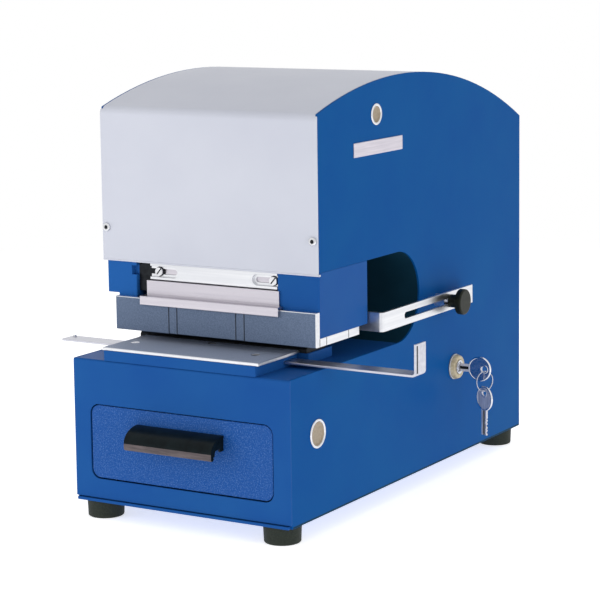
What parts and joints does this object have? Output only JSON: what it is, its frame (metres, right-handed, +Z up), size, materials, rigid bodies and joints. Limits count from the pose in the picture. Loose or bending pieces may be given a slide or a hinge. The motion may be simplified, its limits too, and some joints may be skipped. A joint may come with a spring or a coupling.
{
  "type": "electric pin perforator",
  "caption": "Desktop electric perforator with a deep C-shaped body, arched head cover, pin tool over a paper table, side ruler, slotted depth stop, key switch and chip drawer.",
  "frame": {"origin": "middle of the whole machine's outline in plan, on the floor plane under the feet", "axes": "+X to the machine's right seen from the front, +Y from its front to its back, +Z up"},
  "size_m": [0.36, 0.4626, 0.3818],
  "materials": {
    "grey_paint": "satin light grey paint",
    "blue_paint": "gloss blue paint",
    "hammered_blue": "blue hammered paint",
    "tool_grey": "satin mid grey paint",
    "frame_steel": "plain steel",
    "bright_steel": "bright ground steel",
    "tool_steel": "blackened tool steel",
    "screw_chrome": "plated",
    "key_nickel": "nickel plated",
    "name_plate_metal": "satin",
    "black_plastic": "gloss black",
    "knob_plastic": "black",
    "plug_plastic": "beige centre, metal rim",
    "inlet_plastic": "black",
    "board_resin": "green board",
    "foot_rubber": "black rubber",
    "bearing_bronze": "sintered bronze",
    "motor_body": "cast aluminium"
  },
  "bodies": {
    "machine": {"bottom_plate": "blue_paint", "feet": "foot_rubber", "foot_screws": "screw_chrome", "base_cover": "blue_paint", "left_side_panel": "blue_paint", "right_side_panel": "blue_paint", "rear_panel": "blue_paint", "front_cover": "grey_paint", "cover_screws": "screw_chrome", "throat_liner": "blue_paint", "name_plate": "name_plate_metal", "side_plugs": "plug_plastic", "frame_plates": "frame_steel", "tie_rods": "frame_steel", "lower_jaw_beam": "frame_steel", "head_floor_plate": "frame_steel", "left_cheek": "blue_paint", "right_cheek": "blue_paint", "front_crossbar": "tool_steel", "lock_bar_screws": "screw_chrome", "guard_plate": "bright_steel", "tool_front_plate": "tool_grey", "tool_bars": "bright_steel", "guide_plate": "bright_steel", "tool_screws": "screw_chrome", "guide_pillars": "bright_steel", "return_springs": "bright_steel", "die_plate": "tool_steel", "die_block": "tool_steel", "shaft_bearings": "bearing_bronze", "idler_axle": "bright_steel", "motor_bracket": "frame_steel", "motor": "motor_body", "table_support": "blue_paint", "paper_table": "tool_grey", "table_screws": "screw_chrome", "stop_stud": "bright_steel", "lock_body": "screw_chrome", "drawer_runners": "frame_steel", "control_board": "board_resin", "power_inlet": "inlet_plastic"},
    "drawer": {"drawer_tray": "grey_paint", "drawer_front": "hammered_blue", "drawer_handle": "black_plastic"},
    "ruler": {"side_ruler": "bright_steel", "ruler_pin": "screw_chrome"},
    "depth_stop": {"depth_stop": "tool_grey"},
    "clamp_knob": {"stop_knob": "knob_plastic"},
    "lock_bar": {"lock_bar": "bright_steel"},
    "lock": {"lock_cylinder": "key_nickel", "key": "key_nickel"},
    "key_ring": {"key_ring": "key_nickel"},
    "spare_key": {"spare_key": "key_nickel"},
    "eccentric": {"eccentric_shaft": "bright_steel", "drive_gear": "frame_steel"},
    "idler": {"idler_gear": "frame_steel"},
    "motor_rotor": {"motor_pinion": "bright_steel"},
    "ram": {"ram": "frame_steel", "pin_holder": "tool_steel", "perforating_pins": "bright_steel"}
  },
  "joints": [
    {"name": "drawer_slide", "type": "slide", "parent": "machine", "child": "drawer", "axis": [0, -1, 0], "range_m": [0, 0.13]},
    {"name": "ruler_slide", "type": "slide", "parent": "machine", "child": "ruler", "axis": [1, 0, 0], "range_m": [-0.08, 0.07]},
    {"name": "stop_slide", "type": "slide", "parent": "machine", "child": "depth_stop", "axis": [0, 1, 0], "range_m": [0, 0.08]},
    {"name": "knob_turn", "type": "hinge", "parent": "machine", "child": "clamp_knob", "pos_m": [0.101, 0.05045, 0.17], "axis": [1, 0, 0], "range_deg": [0, 270]},
    {"name": "lock_bar_slide", "type": "slide", "parent": "machine", "child": "lock_bar", "axis": [-1, 0, 0], "range_m": [0, 0.005]},
    {"name": "lock_turn", "type": "hinge", "parent": "machine", "child": "lock", "pos_m": [0.087, 0.08625, 0.101], "axis": [-1, 0, 0], "range_deg": [0, 90]},
    {"name": "ring_swing", "type": "hinge", "parent": "lock", "child": "key_ring", "pos_m": [0.11825, 0.08625, 0.101], "axis": [0, 1, 0], "range_deg": [-30, 15]},
    {"name": "spare_key_swing", "type": "hinge", "parent": "key_ring", "child": "spare_key", "pos_m": [0.11825, 0.08625, 0.0786], "axis": [0.4384, 0.8988, 0], "range_deg": [-30, 10]},
    {"name": "eccentric_turn", "type": "hinge", "parent": "machine", "child": "eccentric", "pos_m": [-0.0265, -0.12775, 0.275], "axis": [1, 0, 0], "range_deg": [0, 181]},
    {"name": "idler_turn", "type": "hinge", "parent": "machine", "child": "idler", "pos_m": [0.02, -0.082, 0.275], "axis": [1, 0, 0], "range_deg": [-261, 0]},
    {"name": "motor_turn", "type": "hinge", "parent": "machine", "child": "motor_rotor", "pos_m": [0.02, -0.05425, 0.275], "axis": [1, 0, 0], "range_deg": [0, 543]},
    {"name": "ram_slide", "type": "slide", "parent": "machine", "child": "ram", "axis": [0, 0, -1], "range_m": [0, 0.01], "stiffness_N_per_m": 3000, "springref_m": -0.014, "deforming": ["return_springs"]}
  ],
  "couplings": [
    {"joint": "eccentric_turn", "follows": "ram_slide", "rad_per_m": 314.16},
    {"joint": "idler_turn", "follows": "ram_slide", "rad_per_m": -452.39},
    {"joint": "motor_turn", "follows": "ram_slide", "rad_per_m": 942.48}
  ]
}
